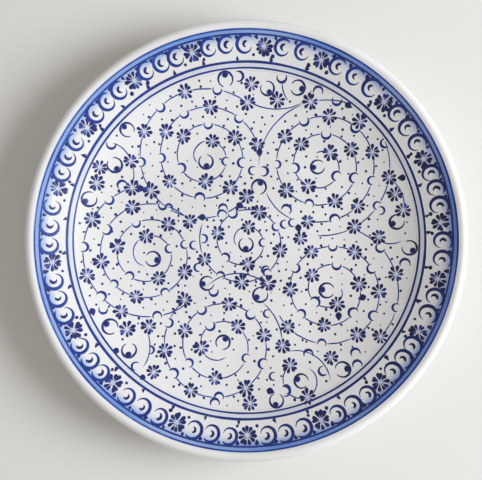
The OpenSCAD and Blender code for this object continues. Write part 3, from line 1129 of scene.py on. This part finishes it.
def commaShape(tree, given):
    bow = arc(tree, given["Radius"], comma["start"], comma["sweep"], 15)
    x, y, z = place(tree)
    bow = moved(tree, bow, x + comma["sideways"] * mm, y + comma["upwards"] * mm, z)
    return brushed(tree, bow, given["Brush width"] / 2 * swell(tree, comma["power"], comma["lean"]))


repeated(
    "borderCommas", "border_commas",
    [(*inBorder(a, scroll["radius"]), about(a - 90, comma["turn"]), *sized(comma)) for a in scrollAngles],
    comma["inputs"], commaShape)

wedge = {
    "inputs": {"Half width": 1.5 * mm},
    "end": (0.8, -3.2),
    "bluntness": 8.0,
    "power": 0.7,
    "dropRadius": bandRadius - 1.0,
    "dropTurn": 20,
    "dropSize": (1.3, 0.3),
    "tickRadius": outerLineRadius - 0.1,
    "tickTurn": 25,
    "tickSize": (1.1, 0.2),
}


def wedgeShape(tree, given):  # wide where it starts, pointed at its end
    x, y = wedge["end"]
    bar = line(tree, (0.0, 0.0, 0.0), (x * mm, y * mm, 0.0), 7)
    start = (along(tree) * wedge["bluntness"]).low(1.0)
    return brushed(tree, bar, given["Half width"] * start * (1 - along(tree)) ** wedge["power"])


repeated(
    "borderDrops", "border_drops",
    [(*inBorder(a, wedge["dropRadius"]), about(a - 90, wedge["dropTurn"]),
      about(*wedge["dropSize"]), 1.0) for a in betweenAngles],
    wedge["inputs"], wedgeShape)
repeated(
    "borderTicks", "border_ticks",
    [(*inBorder(a, wedge["tickRadius"]), about(a + 90, wedge["tickTurn"]),
      about(*wedge["tickSize"]), 1.0) for a in betweenAngles[::2]],
    wedge["inputs"], wedgeShape)
print("strokes painted")


# stems, drawn in one pull between a blossom and the next crescent

stemBrush = {
    "width": 1.05,
    "step": 1.4,
    "blossomGap": 3.4,
    "hookGap": 2.6,
    "load": (0.84, 0.2),
    "shortest": 3,  # degrees
    "taper": 6,
    "startWidth": 1.1,
    "thinning": 0.3,
}


def stemStretches(stem):
    stops = [(stem[2], 0.0), (stem[3], 0.0)]
    stops += [(a, stemBrush["blossomGap"]) for a in stem[6]]
    stops += [(a, stemBrush["hookGap"]) for a in hookAngles(stem)]
    stops.sort()
    for (angle, gap), (after, gapAfter) in zip(stops, stops[1:]):
        start = angle + math.degrees(gap / stemRadius(stem, angle))
        end = after - math.degrees(gapAfter / stemRadius(stem, after))
        if end - start > stemBrush["shortest"]:
            yield start, end


def drawnStems(name, node, group):
    points = []
    edges = []
    half = []
    load = []
    for stem in group:
        for start, end in stemStretches(stem):
            length = math.radians(end - start) * stemRadius(stem, start)
            steps = max(4, math.ceil(length / stemBrush["step"]))
            strength = about(*stemBrush["load"])
            for i in range(steps + 1):
                share = i / steps
                x, y = stemPoint(stem, start + (end - start) * share)
                points.append((x, y, 0))
                taper = min(1.0, stemBrush["taper"] * share, stemBrush["taper"] * (1 - share))
                width = stemBrush["startWidth"] - stemBrush["thinning"] * share
                half.append(stemBrush["width"] / 2 * mm * taper * width)
                load.append(strength)
                if i:
                    edges.append((len(points) - 2, len(points) - 1))
    piece = newPiece(name, points, edges, half=half, load=load)
    inputs = {"Shake": painting["shake"] * 2 * mm, "Material": royalMaterial}
    nodeTree, tree, given = newTree(name, inputs)
    paths = tree.add("GeometryNodeMeshToCurve", {}, [given["Geometry"]])
    bead = closedTips(tree, brushed(tree, paths, named(tree, "half"), 6))
    finishTree(tree, onFace(tree, pigmented(tree, bead), given["Shake"]), given["Material"])
    plainMesh(piece, nodeTree, inputs)
    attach(piece, "root")
    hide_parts(node)


drawnStems("spiralStems", "spiral_stems", spirals)
drawnStems("branchStems", "branch_stems", branches)
print("stems drawn")


# table, light and camera

studio = {
    "tableSize": 12.0,
    "table": srgb(243, 242, 239),
    "tablePatches": srgb(236, 235, 233),
    "room": srgb(255, 250, 242),
    "window": (0.95, 0.975, 1.0),
    "roomStrength": 0.375,
    "lightSize": 1.2,
    "lightPower": 38.0,
    "lightPlace": Vector((1.65, -0.1, 1.15)),
    "lens": 86.23,
    "sensor": 36.0,
    "target": Vector((-3.153, -0.714, 25.0)) * mm,
    "distance": 790 * mm,
    "tilt": math.radians(3.7),
    "lean": (0.42, -0.91),  # which way the camera leans off straight down
}


def makeTable():
    material, tree = newMaterial("paleTable")
    spot = objectPlace(tree)
    soft = grain(tree, spot, 5.0, 3.0)
    colour = tree.mix(soft, studio["table"], studio["tablePatches"])
    shading(tree, colour, 0.88 + 0.1 * soft, 0.0, grain(tree, spot, 300.0), 0.05)
    half = studio["tableSize"] / 2
    mesh = bpy.data.meshes.new("table")
    mesh.from_pydata(
        [(-half, -half, 0), (half, -half, 0), (half, half, 0), (-half, half, 0)], [], [(0, 1, 2, 3)])
    mesh.materials.append(material)
    table = bpy.data.objects.new("table", mesh)
    bpy.context.scene.collection.objects.link(table)


def aim(thing, spot, target):
    back = (spot - target).normalized()
    right = Vector((0, 1, 0)).cross(back).normalized()
    up = back.cross(right)
    turn = Matrix((right, up, back)).transposed().to_4x4()
    thing.matrix_world = Matrix.Translation(spot) @ turn


def makeLights():
    data = bpy.data.lights.new("softWindow", "AREA")
    data.shape = "DISK"
    data.size = studio["lightSize"]
    data.energy = studio["lightPower"]
    data.color = studio["window"]
    window = bpy.data.objects.new("softWindow", data)
    bpy.context.scene.collection.objects.link(window)
    aim(window, studio["lightPlace"], Vector((0, 0, 0.02)))
    bpy.context.scene.view_settings.view_transform = "Standard"
    world = bpy.data.worlds.new("room")
    world.use_nodes = True
    bpy.context.scene.world = world
    background = world.node_tree.nodes["Background"]
    background.inputs["Color"].default_value = studio["room"]
    background.inputs["Strength"].default_value = studio["roomStrength"]


def makeCamera():
    data = bpy.data.cameras.new("camera")
    data.lens = studio["lens"]
    data.sensor_width = studio["sensor"]
    data.clip_start = 0.05
    camera = bpy.data.objects.new("camera", data)
    bpy.context.scene.collection.objects.link(camera)
    lean = math.sin(studio["tilt"])
    x, y = studio["lean"]
    back = Vector((lean * x, lean * y, math.cos(studio["tilt"])))
    aim(camera, studio["target"] + back * studio["distance"], studio["target"])
    bpy.context.scene.camera = camera


makeTable()
makeLights()
makeCamera()
print("studio set")
